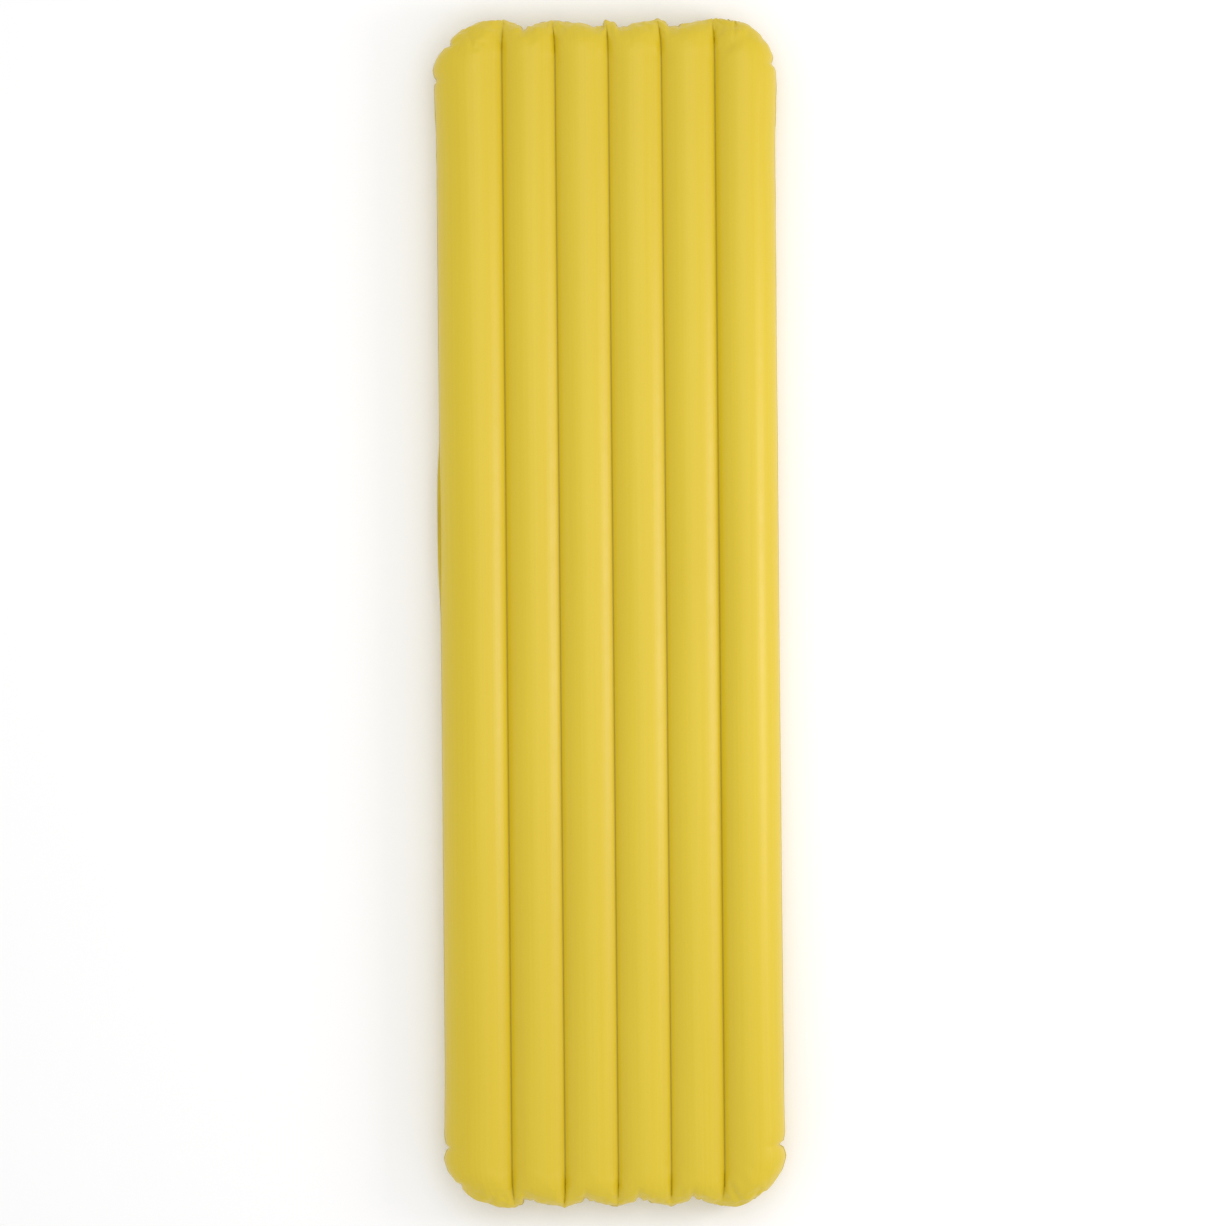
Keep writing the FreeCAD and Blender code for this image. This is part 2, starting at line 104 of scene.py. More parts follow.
COLUMNS = 24  # across an inner tube
OUTER_COLUMNS = 31  # across an outer tube
END_ROWS = 20  # round the bend of each end
FINE_STEP, COARSE_STEP = 0.006, 0.05
HEAD_REACH, TAIL_REACH = 0.14, 0.03  # the finely stepped stretch of each end
ROUGHNESS = 0.0007  # of the sheets near the ends before they are blown up
ROUGH_LENGTH = 0.05
FREE_LENGTH, FREEING = 0.03, 0.02  # where the seams are let go near the ends
SLACK_LENGTH = 0.06  # where the sheets are a little too long


def rows_of_straight(end):
    """Distances of the rows from the middle to one end's taper, finer toward the end."""
    reach = HEAD_REACH if end > 0 else TAIL_REACH
    y = HALF_LENGTH - TAPER
    start = y
    rows = []
    while y > 0.02:
        rows.append(y)
        y -= min(COARSE_STEP, FINE_STEP + max(0.0, start - y - reach) / 4)
    return end * np.array(rows)


def make_rows():
    """For each row its end (-1, 0 or 1), the angle round that end's taper and its straight Y."""
    angles = np.linspace(0, 90, END_ROWS + 1)[1:]
    tail, head = rows_of_straight(-1), rows_of_straight(1)
    end = np.concatenate([-np.ones(END_ROWS), np.sign(tail), [0], np.sign(head), np.ones(END_ROWS)])
    angle = np.concatenate([angles[::-1], 0 * tail, [0], 0 * head, angles])
    edge = np.full(END_ROWS, HALF_LENGTH - TAPER)
    y = np.concatenate([-edge, tail, [0], head[::-1], edge])
    return end, angle, y


def make_columns():
    """The (tube, share of its width) of each column."""
    columns = []
    for tube in range(TUBES):
        count = COLUMNS if 0 < tube < TUBES - 1 else OUTER_COLUMNS
        columns += [(tube, k / count) for k in range(count + 1)]
    return columns


def on_seam(tube, share):
    """Whether a column runs along one edge of a seam, and not along the rim or over a tube."""
    return (share == 0 and tube > 0) or (share == 1 and tube < TUBES - 1)


def tube_arc(tube, flare):
    """Centre, half width, half height, first and last angle of a tube's arc, and its fixed edge."""
    reach = PITCH / 2 - LAND
    centre = SEAMS[2] + (tube - 2.5) * PITCH
    if 0 < tube < TUBES - 1:
        start = math.asin(GROOVE / INNER_HEIGHT)
        return centre, 0 * flare + reach / math.cos(start), INNER_HEIGHT, math.pi - start, start, None
    side = -1 if tube == 0 else 1
    inner = centre - side * reach
    start = math.asin(GROOVE / OUTER_HEIGHT)
    half = np.abs(side * (HALF_WIDTH + flare) - inner) / (1 + math.cos(start))
    first, last = (math.pi, start) if side < 0 else (math.pi - start, 0.0)
    return inner + side * half * math.cos(start), half, OUTER_HEIGHT, first, last, inner


def dip(tube, share, end):
    """How far the end's outline is drawn in, as a share of DIP: 0 at a seam and 1 at a tuck."""
    if tube in (0, TUBES - 1):
        away = share if tube else 1 - share
        return 0.06 * (1 - math.exp(-away / 0.08)) + FALLS[tube, end] * away**2
    tuck = TUCKS[end][tube - 1]
    near = share / tuck if share < tuck else (1 - share) / (1 - tuck)
    return 0.94 * near**1.5 + 0.06 * (1 - math.exp(-near / 0.10))


def start_surface(columns, rows):
    """The upper sheet with plain corners, as an array of points over columns and rows."""
    end, angle, straight = rows
    cosine, sine = np.cos(np.radians(angle)), np.sin(np.radians(angle))
    from_end = (HALF_LENGTH - TAPER) - np.abs(straight)
    flare = FLARE * np.clip(1 - from_end / FLARE_LENGTH, 0, 1) ** 2 * np.where(end > 0, 1.0, 0.6)
    fullness = (1 - np.clip(sine, 0, 1) ** 3.2) ** (1 / 2.4)  # the ends' outline from the side
    points = np.zeros((len(columns), len(end), 3))
    for c, (tube, share) in enumerate(columns):
        centre, half, height, first, last, fixed = tube_arc(tube, flare)
        turn = first + (last - first) * share
        x = centre + half * math.cos(turn)
        if fixed is not None:
            width = np.abs(centre - fixed) + half
            x = fixed + (x - fixed) * (1 - CORNER / width * (1 - cosine))
        reach = TAPER - DIP * np.where(end > 0, dip(tube, share, 1), dip(tube, share, -1))
        points[c, :, 0] = x
        points[c, :, 1] = straight + end * reach * sine
        on_rim = share in (0.0, 1.0) and turn in (0.0, math.pi)
        points[c, :, 2] = 0.0 if on_rim else height * max(math.sin(turn), 0.0) * fullness
    return points


def notch_corners(points, columns, rows):
    """Draw the outer tubes in at the notches and the puckered corners, fading toward their seams."""
    end, angle, straight = rows
    cosine, sine = np.cos(np.radians(angle)), np.sin(np.radians(angle))
    from_end = (HALF_LENGTH - TAPER) - np.abs(straight)
    along = np.where(angle > 0, np.radians(angle) * CORNER, -from_end)
    for side, outer in ((-1, 0), (1, TUBES - 1)):
        pull = CHAMFER * np.abs(np.sin(2 * np.radians(angle)))
        for notch_side, notch_end, place, depth, half in NOTCHES:
            if notch_side == side:
                beside = np.abs((along - place) / half) ** 1.2
                pull = pull + depth * np.exp(-beside) * (np.sign(straight) == notch_end)
        for c, (tube, share) in enumerate(columns):
            if tube == outer:
                away = share if tube else 1 - share
                near = np.clip((away - 0.35) / 0.65, 0, 1) ** 2
                points[c, :, 0] -= side * pull * near * cosine
                points[c, :, 1] -= end * pull * near * sine


def arc_lengths(points, middle):
    """Each column's distance along the sheet from the left rim, measured across the middle row."""
    steps = np.linalg.norm(np.diff(points[:, middle], axis=0), axis=1)
    return np.concatenate([[0], np.cumsum(steps)])


def smooth_noise(random, shape):
    """Seeded noise over the grid, blurred once and brought to a spread of 1."""
    raw = random.normal(size=shape)
    around = sum(np.roll(raw, step, axis) for step in (-1, 1) for axis in (0, 1))
    blurred = (raw + around) / 5
    return blurred / blurred.std()


def new_object(name, vertices, faces):
    mesh = bpy.data.meshes.new(name)
    mesh.from_pydata([tuple(v) for v in vertices], [], [tuple(f) for f in faces])
    mesh.update()
    piece = bpy.data.objects.new(name, mesh)
    bpy.context.scene.collection.objects.link(piece)
    return piece


def coordinates(mesh):
    flat = np.empty(len(mesh.vertices) * 3)
    mesh.vertices.foreach_get("co", flat)
    return flat.reshape(-1, 3)


def weight_group(piece, name, weights):
    group = piece.vertex_groups.new(name=name)
    for index in np.nonzero(weights > 0)[0]:
        group.add([int(index)], float(weights[index]), "REPLACE")


def inflate(piece, pinned, growing):
    """Blow the sheets up with Cloth, with their ends' fabric a little too long, and apply it."""
    weight_group(piece, "pinned", pinned)
    weight_group(piece, "still", 1 - growing)
    cloth = piece.modifiers.new("Cloth", "CLOTH")
    settings = cloth.settings
    settings.quality = 5
    settings.mass = 0.001
    settings.tension_stiffness = 80
    settings.compression_stiffness = 20
    settings.shear_stiffness = 4
    settings.bending_stiffness = 0.002
    settings.tension_damping = settings.compression_damping = settings.shear_damping = 5
    settings.bending_damping = 0.5
    settings.air_damping = 4
    settings.use_pressure = True
    settings.uniform_pressure_force = 6
    settings.effector_weights.gravity = 0
    settings.vertex_group_mass = "pinned"
    settings.pin_stiffness = 1
    settings.vertex_group_shrink = "still"
    settings.shrink_max = 0
    settings.shrink_min = -0.07
    frames = 8
    cloth.point_cache.frame_start, cloth.point_cache.frame_end = 1, frames
    scene = bpy.context.scene
    for number in range(1, frames + 1):
        scene.frame_set(number)
    evaluated = piece.evaluated_get(bpy.context.evaluated_depsgraph_get())
    swollen = coordinates(evaluated.data)
    piece.modifiers.remove(cloth)
    piece.data.vertices.foreach_set("co", swollen.ravel())
    piece.data.update()


class Grid:
    """The two sheets' points, where they share the rim, and the numbers of their vertices."""

    def __init__(self):
        self.columns = make_columns()
        self.rows = make_rows()
        self.top = start_surface(self.columns, self.rows)
        notch_corners(self.top, self.columns, self.rows)
        shape = self.top.shape[:2]
        self.edge = np.zeros(shape, bool)
        self.edge[0] = self.edge[-1] = True
        self.edge[:, 0] = self.edge[:, -1] = True
        upper = np.arange(shape[0] * shape[1]).reshape(shape)
        lower = upper.copy()
        inside = ~self.edge
        lower[inside] = upper.size + np.arange(inside.sum())
        self.upper, self.lower = upper, lower
        self.inside = inside
        self.count = upper.size + int(inside.sum())

    def vertices(self, top, bottom):
        points = np.zeros((self.count, 3))
        points[self.upper] = top
        points[self.lower[self.inside]] = bottom[self.inside]
        return points

    def faces(self):
        u, w = self.upper, self.lower
        above = np.stack([u[:-1, :-1], u[1:, :-1], u[1:, 1:], u[:-1, 1:]], -1).reshape(-1, 4)
        below = np.stack([w[:-1, :-1], w[:-1, 1:], w[1:, 1:], w[1:, :-1]], -1).reshape(-1, 4)
        return np.concatenate([above, below]).tolist()

    def spread(self, values):
        """Values over the grid as one number per vertex, the same on both sheets."""
        spread = np.zeros(self.count)
        spread[self.upper] = values
        spread[self.lower] = values
        return spread

    def round_rim(self, under=False):
        """The rim's vertices in order, or the lower sheet's next to them, once round the mat."""
        grid = np.pad(self.lower[1:-1, 1:-1], 1, mode="edge") if under else self.upper
        return np.concatenate([grid[0, :-1], grid[:-1, -1], grid[-1, :0:-1], grid[:0:-1, 0]])


def lean(points):
    """How far the points move sideways where the seams bend near both tips."""
    edges = [-HALF_WIDTH, *SEAMS, HALF_WIDTH]
    moved = 0.0
    for end in (1, -1):
        from_tip = HALF_LENGTH - end * points[:, 1]
        fade = np.exp(-(np.clip(from_tip, 0, None) / LEAN_LENGTH) ** 1.5)
        moved = moved + np.interp(points[:, 0], edges, [0, *LEANS[end], 0]) * fade
    return moved


def make_creases():
    """(Place on the outline, direction inward, length, depth, half width) of each small tuck."""
    creases = []
    for end, shares in TUCKS.items():
        for k, share in enumerate(shares):
            left = SEAMS[k] + LAND
            turn = math.pi * (1 - share)
            x = left + (PITCH - 2 * LAND) * (0.5 + 0.5 * math.cos(turn))
            y = end * (HALF_LENGTH - DIP)
            slant = 0.35 * (share - 0.5)  # a tuck leans toward the nearer seam
            creases.append(((x, y), (slant, -end), *TUCK_CREASE))
            aside = SIDE_STEP if share < 0.5 else -SIDE_STEP
            place = (x + aside, end * (HALF_LENGTH - 0.7 * DIP))
            creases.append((place, (-0.5 * slant, -end), *SIDE_CREASE))
    for side, end, along, depth, half in NOTCHES:
        turn = max(along, 0.0) / CORNER
        pulled = depth + CHAMFER * math.sin(2 * turn)
        outward = np.array([side * math.cos(turn), end * math.sin(turn)])
        centre = np.array([side * (HALF_WIDTH + FLARE - CORNER), end * (HALF_LENGTH - TAPER)])
        place = centre + (CORNER - pulled) * outward + np.array([0, end * min(along, 0.0)])
        creases.append((place, -outward, NOTCH_CREASE_LENGTH, 0.35 * depth, 0.3 * half))
    return creases


def press_creases(points, normals):
    """Press a groove with a soft lip on each side along every crease, fading inward and in height."""
    for place, inward, length, depth, half in make_creases():
        direction = np.array(inward) / math.hypot(*inward)
        away = points[:, :2] - np.array(place)
        along = away @ direction
        across = away @ np.array([-direction[1], direction[0]])
        near = (along > -CREASE_START) & (along < length) & (np.abs(across) < 5 * half)
        fade = np.clip(1 - np.clip(along[near], 0, None) / length, 0, 1) ** 1.2
        fade = fade * np.exp(-(((points[near, 2] - MID) / CREASE_REACH) ** 2))
        ratio = np.abs(across[near]) / half
        lips = 0.25 * np.exp(-((ratio - 2.6) ** 2))
        profile = lips - np.exp(-(ratio**1.2))
        points[near] += normals[near] * (profile * fade * depth)[:, None]


def press_dimples(points):
    """Hold the underside up round each valve, and rest the outer tubes flat on the floor."""
    for x, y in VALVE_AXES:
        radius = np.hypot(points[:, 0] - x, points[:, 1] - y)
        step = np.clip((DIMPLE_MOUTH - radius) / (DIMPLE_MOUTH - DIMPLE_FLOOR), 0, 1)
        level = DIMPLE_DEPTH * step * step * (3 - 2 * step)
        low = (points[:, 2] < MID / 2) & (radius < DIMPLE_MOUTH)
        points[low, 2] = np.maximum(points[low, 2], level[low])
    points[:, 2] = np.maximum(points[:, 2], 0.0)


def cut_valve_holes(piece):
    """Cut a round well through the underside at each valve, for the collar to stand in."""
    for x, y in VALVE_AXES:
        bpy.ops.mesh.primitive_cylinder_add(
            vertices=96, radius=WELL_RADIUS, depth=WELL_DEPTH, location=(x, y, WELL_LEVEL))
        cutter = bpy.context.object
        cut = piece.modifiers.new("Hole", "BOOLEAN")
        cut.operation = "DIFFERENCE"
        cut.solver = "EXACT"
        cut.object = cutter
        bpy.context.view_layer.objects.active = piece
        bpy.ops.object.modifier_apply(modifier="Hole")
        bpy.data.objects.remove(cutter)


def blurred_round(values, times):
    """Values round a closed loop, blurred."""
    for _ in range(times):
        values = (np.roll(values, 1, 0) + values + np.roll(values, -1, 0)) / 3
    return values


def unit(vectors):
    return vectors / np.linalg.norm(vectors, axis=1)[:, None]


def halved(loop):
    """The points of a closed loop with one more between each two."""
    between = (loop + np.roll(loop, -1, 0)) / 2
    return np.stack([loop, between], 1).reshape(-1, 3)


def directions_round(rim):
    """The unit directions along the rim and level outward from it."""
    tangent = unit(blurred_round(np.roll(rim, -1, 0) - np.roll(rim, 1, 0), 2))
    outward = unit(np.stack([-tangent[:, 1], tangent[:, 0], np.zeros(len(rim))], -1))
    return tangent, outward if (outward * rim).sum() > 0 else -outward


def rough_sheets(grid, from_tip):
    """The upper and the lower sheet before they are blown up, a little rough near the ends."""
    random = np.random.default_rng(3)
    near_end = np.exp(-((from_tip / ROUGH_LENGTH) ** 2))
    sheets = []
    for sign in (1, -1):
        points = grid.top * np.array([1, 1, sign])
        for axis in (2, 1):
            rough = ROUGHNESS * near_end * smooth_noise(random, from_tip.shape)
            points[..., axis] += rough * grid.inside
        sheets.append(points)
    return sheets


def seam_hold(grid, from_tip):
    """How firmly each point is held while the mat is blown up: the rim, and the seams' long middle."""
    held = grid.edge.astype(float)
    for c, (tube, share) in enumerate(grid.columns):
        if on_seam(tube, share):
            held[c] = np.maximum(held[c], np.clip((from_tip[c] - FREE_LENGTH) / FREEING, 0, 1))
    return held


def keep_between_seams(points, grid):
    """Stop each tube at its seams, so that neighbours touch there and don't cross."""
    walls = [-1.0, *SEAMS, 1.0]
    rows = grid.top.shape[1]
    tubes = grid.spread(np.array([[tube] * rows for tube, share in grid.columns]))
    gap = LAND / 2
    for tube in range(TUBES):
        own = tubes == tube
        points[own, 0] = np.clip(points[own, 0], walls[tube] + gap, walls[tube + 1] - gap)


def make_mat():
    """The two sheets as one closed, inflated skin, its rim's points and those just under them."""
    grid = Grid()
    from_tip = HALF_LENGTH - np.abs(grid.top[..., 1])
    piece = new_object("mat", grid.vertices(*rough_sheets(grid, from_tip)), grid.faces())
    growing = np.clip(1 - from_tip / SLACK_LENGTH, 0, 1)
    inflate(piece, grid.spread(seam_hold(grid, from_tip)), grid.spread(growing))
    points = coordinates(piece.data)
    keep_between_seams(points, grid)
    points[:, 2] += MID
    piece.data.vertices.foreach_set("co", points.ravel())
    add_cloth_map(piece, grid)
    crease_lands(piece, grid)
    apply_subdivision(piece)
    rim, under_rim = halved(points[grid.round_rim()]), halved(points[grid.round_rim(under=True)])
    points = coordinates(piece.data)
    normals = np.empty(len(points) * 3)
    piece.data.vertices.foreach_get("normal", normals)
    press_creases(points, normals.reshape(-1, 3))
    press_dimples(points)
    points[:, 0] += lean(points)
    outward = directions_round(rim)[1]
    for edge in (rim, under_rim):
        press_creases(edge, outward)
        edge[:, 0] += lean(edge)
    piece.data.vertices.foreach_set("co", points.ravel())
    piece.data.update()
    cut_valve_holes(piece)
    mark_welds_and_shade(piece)
    piece.data.shade_smooth()
    piece.data.set_sharp_from_angle(angle=math.radians(58))
    return piece, rim, under_rim


def add_cloth_map(piece, grid):
    """A UV map in metres along the sheets, for the weave."""
    middle = int(np.argmin(np.abs(grid.rows[2]) + grid.rows[1]))
    across = arc_lengths(grid.top, middle)
    u = grid.spread(np.repeat(across[:, None], grid.top.shape[1], 1))
    v = grid.spread(grid.top[..., 1])
    mesh = piece.data
    corner = np.empty(len(mesh.loops), np.int32)
    mesh.loops.foreach_get("vertex_index", corner)
    layer = mesh.uv_layers.new(name="cloth")
    layer.data.foreach_set("uv", np.stack([u[corner], v[corner]], -1).ravel())


def crease_lands(piece, grid):
    """Keep the seams' edges sharp through the subdivision."""
    lands = set()
    for c, (tube, share) in enumerate(grid.columns):
        if on_seam(tube, share):
            lands.update(grid.upper[c].tolist())
            lands.update(grid.lower[c].tolist())
    mesh = piece.data
    ends = np.empty(len(mesh.edges) * 2, np.int32)
    mesh.edges.foreach_get("vertices", ends)
    ends = ends.reshape(-1, 2)
    points = coordinates(mesh)
    on_land = np.isin(ends, np.fromiter(lands, np.int32)).all(axis=1)
    apart = np.abs(points[ends[:, 0]] - points[ends[:, 1]])
    lengthwise = apart[:, 1] > apart[:, 0]
    attribute = mesh.attributes.new("crease_edge", "FLOAT", "EDGE")
    attribute.data.foreach_set("value", (on_land & lengthwise).astype(np.float32))


def apply_subdivision(piece):
    divide = piece.modifiers.new("Subdivision", "SUBSURF")
    divide.levels = divide.render_levels = 1
    bpy.context.view_layer.objects.active = piece
    bpy.ops.object.modifier_apply(modifier="Subdivision")


def mark_welds_and_shade(piece):
    """A number per vertex: 1 on the weld lines between the tubes, and 0 away from them. It masks the real
    welds and also the painted shade at the bottoms of the grooves.
    """
    points = coordinates(piece.data)
    nearest = np.min(np.abs((points[:, 0] - lean(points))[:, None] - np.array([SEAMS])), axis=1)
    level = np.abs(np.abs(points[:, 2] - MID) - GROOVE)
    # Painted shade: this narrow mask at the groove level also darkens the colour there, standing in for the
    # shade where neighbouring tubes meet.
    weld_and_shade = np.exp(-((nearest / 0.0009) ** 2)) * np.exp(-((level / 0.006) ** 2))
    attribute = piece.data.attributes.new("weld_and_shade", "FLOAT", "POINT")
    attribute.data.foreach_set("value", weld_and_shade.astype(np.float32))


# --- the welded rim ----------------------------------------------------------------------------

RIM_WIDTH, RIM_THICKNESS = 0.0045, 0.0005
RIM_ROOT = 0.0006  # how far the strip starts inside the sheets
PEEP, PEEP_PLACE, PEEP_LENGTH = 2.5, 0.14, 0.075  # where the strip stands out on the left side


def make_rim(rim, under):
    """The flat welded edge, folded down against the lower sheet, except where it peeps out."""
    count = len(rim)
    tangent, outward = directions_round(rim)
    lay = under - rim
    lay = unit(lay - (lay * tangent).sum(axis=1)[:, None] * tangent)
    random = np.random.default_rng(11)
    lifted = 0.10 + 0.06 * blurred_round(random.normal(size=count), 4) / 0.35
    left = rim[:, 0] < -0.9 * HALF_WIDTH
    lifted = lifted + PEEP * np.exp(-(((rim[:, 1] - PEEP_PLACE) / PEEP_LENGTH) ** 4)) * left
    lay = unit(blurred_round(lay + lifted[:, None] * outward, 2))
    thick = np.cross(tangent, lay)
    if (thick * outward).sum() < 0:
        thick = -thick
    half = thick * RIM_THICKNESS / 2
    root = rim - outward * RIM_ROOT + half
    bend = rim + lay * RIM_WIDTH * 0.4 + half * 2
    tip = rim + lay * RIM_WIDTH + half * 2.4
    section = [root + half, bend + half, tip + half * 0.7, tip - half * 0.7, bend - half, root - half]
    vertices = np.stack(section, 1).reshape(-1, 3)
    sides = len(section)
    faces = []
    for k in range(count):
        after = (k + 1) % count
        for s in range(sides):
            turn = (s + 1) % sides
            faces.append((k * sides + s, after * sides + s, after * sides + turn, k * sides + turn))
    piece = new_object("mat_rim", vertices, faces)
    face_outward(piece)
    piece.data.shade_smooth()
    piece.data.set_sharp_from_angle(angle=math.radians(40))
    return piece


def face_outward(piece):
    """Turn a closed mesh's faces outward."""
    shape = bmesh.new()
    shape.from_mesh(piece.data)
    bmesh.ops.recalc_face_normals(shape, faces=shape.faces)
    shape.to_mesh(piece.data)
    shape.free()


# --- the baffles -------------------------------------------------------------------------------

HALF_WEB, FLANGE = 0.00025, 0.0005
RIPPLE = 0.0012


def make_baffle(name):
    """The I-beam strip inside a seam, its web slack enough to ripple a little."""
    low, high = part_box(name)
    across, up = (high.x - low.x) / 2, high.z - low.z + 2 * BULGE
    outline = [(-across, 0), (across, 0), (across, FLANGE), (HALF_WEB, FLANGE)]
    outline += [(HALF_WEB, up * k / 6) for k in range(1, 6)]
    outline += [(HALF_WEB, up - FLANGE), (across, up - FLANGE), (across, up), (-across, up)]
    outline += [(-across, up - FLANGE), (-HALF_WEB, up - FLANGE)]
    outline += [(-HALF_WEB, up * k / 6) for k in range(5, 0, -1)]
    outline += [(-HALF_WEB, FLANGE), (-across, FLANGE)]
    centre = (low.x + high.x) / 2
    stations = np.linspace(low.y, high.y, 181)
    vertices = []
    for y in stations:
        for x, z in outline:
            bow = math.sin(math.pi * z / up) ** 2
            ripple = RIPPLE * bow * math.sin(y * 41) * math.sin(y * 13 + 1)
            vertices.append((centre + x + ripple, y, low.z - BULGE + z))
    sides = len(outline)
    faces = [tuple(range(sides)), tuple(reversed(range(len(vertices) - sides, len(vertices))))]
    for k in range(len(stations) - 1):
        for s in range(sides):
            turn = (s + 1) % sides
            faces.append((k * sides + s, k * sides + turn, (k + 1) * sides + turn, (k + 1) * sides + s))
    piece = new_object(name + "_strip", vertices, faces)
    face_outward(piece)
    return piece


# --- details of the valves ---------------------------------------------------------------------

PRESSED_INNER, PRESSED_OUTER, PRESSED_EDGE = 0.0172, 0.0214, 0.0219
PRESSED_RELIEF, PRESSED_NOTCH = 0.0004, 0.0003
LID_DISH = 0.0005  # how far the lid's outer face is sunk inside its rim
RIDGE_RADII = (0.0075, 0.0105)
RIDGE_HALF_WIDTH, RIDGE_HEIGHT = 0.0005, 0.00035
GRIP_BARS, GRIP_START, GRIP_STEP = 3, 0.0012, 0.0014


def ring_of(name, axis, profile, turns=96, ripple=None):
    """A closed ring about a vertical axis, through (radius, level) corners of its section."""
    vertices, faces = [], []
    sides = len(profile)
    lowest = min(level for radius, level in profile)
    for t in range(turns):
        angle = 2 * math.pi * t / turns
        for radius, level in profile:
            lift = ripple(t) if ripple and level == lowest else 0.0
            vertices.append((axis[0] + radius * math.cos(angle),
                             axis[1] + radius * math.sin(angle), level + lift))
    for t in range(turns):
        after = (t + 1) % turns
        for s in range(sides):
            turn = (s + 1) % sides
            faces.append((t * sides + s, after * sides + s, after * sides + turn, t * sides + turn))
    piece = new_object(name, vertices, faces)
    face_outward(piece)
    piece.data.shade_smooth()
    piece.data.set_sharp_from_angle(angle=math.radians(35))
    return piece


def bead(radius, level, half_width, height, steps=8):
    """The section of a low rounded ring whose crown points down from a level."""
    arc = [math.pi * k / steps for k in range(steps + 1)]
    crown = [(radius - half_width * math.cos(a), level - height * math.sin(a)) for a in arc]
    return crown + [(radius + half_width, level + 0.0003), (radius - half_width, level + 0.0003)]


def make_pressed_ring(name, axis):
    """The ring on the sheet where it is welded to the collar's flange, with the tool's marks."""
    above, below = DIMPLE_DEPTH + PRESSED_RELIEF, DIMPLE_DEPTH - PRESSED_RELIEF
    profile = [(PRESSED_INNER, above), (PRESSED_INNER, below), (PRESSED_OUTER, below),
               (PRESSED_EDGE, above)]
    return ring_of(name + "_weld_ring", axis, profile, 144, lambda t: 0.0 if t % 3 else PRESSED_NOTCH)


def make_lid_details(name, axis):
    """The two ridges round the lid's outer face and the grip bars on its finger tab."""
    lid_low, lid_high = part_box(name + "_lid")
    dish = lid_low.z + LID_DISH
    details = []
    for k, radius in enumerate(RIDGE_RADII):
        section = bead(radius, dish, RIDGE_HALF_WIDTH, RIDGE_HEIGHT)
        details.append(ring_of(name + "_lid_ridge_%d" % (k + 1), axis, section))
    for k in range(GRIP_BARS):
        place = lid_high.x - GRIP_START - GRIP_STEP * k
        details.append(grip_bar(name + "_grip_bar_%d" % (k + 1), place, axis[1], dish))
    return details


def grip_bar(name, x, y, level, half_length=0.0038, half_width=0.00035, height=0.0004):
    """A low half-round bar across the finger tab, standing down from a level."""
    steps, cuts = 8, 12
    vertices, faces = [], []
    for c in range(cuts + 1):
        share = 2 * c / cuts - 1
        along = y + half_length * share
        swell = max(1 - abs(share) ** 6, 0.04)
        for k in range(steps + 1):
            angle = math.pi * k / steps
            vertices.append((x + half_width * math.cos(angle) * swell, along,
                             level - height * math.sin(angle) * swell))
        vertices.append((x - half_width * swell, along, level + 0.0002))
        vertices.append((x + half_width * swell, along, level + 0.0002))
    sides = steps + 3
    for c in range(cuts):
        for s in range(sides):
            turn = (s + 1) % sides
            faces.append((c * sides + s, c * sides + turn, (c + 1) * sides + turn, (c + 1) * sides + s))
    faces.append(tuple(range(sides)))
    faces.append(tuple(reversed(range(cuts * sides, (cuts + 1) * sides))))
    piece = new_object(name, vertices, faces)
    face_outward(piece)
    piece.data.shade_smooth()
    piece.data.set_sharp_from_angle(angle=math.radians(40))
    return piece


# --- materials ---------------------------------------------------------------------------------


class Shader:
    """A node material with a Principled shader, and short ways to add nodes to it."""

    def __init__(self, name, **sockets):
        self.material = bpy.data.materials.new(name)
        self.material.use_nodes = True
        self.tree = self.material.node_tree
        self.main = self.tree.nodes["Principled BSDF"]
        for key, value in sockets.items():
            self.main.inputs[key.replace("_", " ")].default_value = value

    def node(self, kind, inputs=None, **settings):
        made = self.tree.nodes.new("ShaderNode" + kind)
        for key, value in settings.items():
            setattr(made, key, value)
        for key, value in (inputs or {}).items():
            if isinstance(value, bpy.types.NodeSocket):
                self.tree.links.new(value, made.inputs[key])
            else:
                made.inputs[key].default_value = value
        return made

    def math(self, operation, first, second=0.0):
        return self.node("Math", {0: first, 1: second}, operation=operation).outputs[0]

    def place(self):
        return self.node("TexCoord").outputs["Object"]

    def noise(self, scale, detail=3.0, vector=None, roughness=0.5):
        inputs = {"Vector": vector or self.place(), "Scale": scale, "Detail": detail,
                  "Roughness": roughness}
        return self.node("TexNoise", inputs).outputs["Fac"]

    def between(self, value, low, high):
        """A value from 0 to 1 turned into one from low to high."""
        inputs = {"Value": value, "To Min": low, "To Max": high}
        return self.node("MapRange", inputs).outputs["Result"]

    def blend(self, share, first, second):
        inputs = {"Factor": share, 6: first, 7: second}
        return self.node("Mix", inputs, data_type="RGBA").outputs[2]

    def bumps(self, *layers):
        """Stack (height, distance, strength) layers of relief and give them to the shader."""
        normal = None
        for height, distance, strength in layers:
            inputs = {"Height": height, "Distance": distance, "Strength": strength}
            if normal is not None:
                inputs["Normal"] = normal
            normal = self.node("Bump", inputs).outputs["Normal"]
        self.feed("Normal", normal)

    def feed(self, socket, value):
        self.tree.links.new(value, self.main.inputs[socket])


def linear(red, green, blue):
    """A colour given in display numbers from 0 to 255, as the shaders take it."""
    values = []
    for channel in (red, green, blue):
        share = channel / 255
        values.append(share / 12.92 if share <= 0.04045 else ((share + 0.055) / 1.055) ** 2.4)
    return (*values, 1.0)


THREAD = 0.0007  # from one thread to the next
WELD_RIB, RIM_RIB = 0.0016, 0.0018  # from one rib of the sealing tool to the next


def weave(shader, u, v):
    """The relief of a plain weave over two coordinates in metres."""
    turns = math.pi / THREAD
    warp = shader.math("SINE", shader.math("MULTIPLY", u, turns))
    weft = shader.math("SINE", shader.math("MULTIPLY", v, turns))
    return shader.math("MULTIPLY", warp, weft)


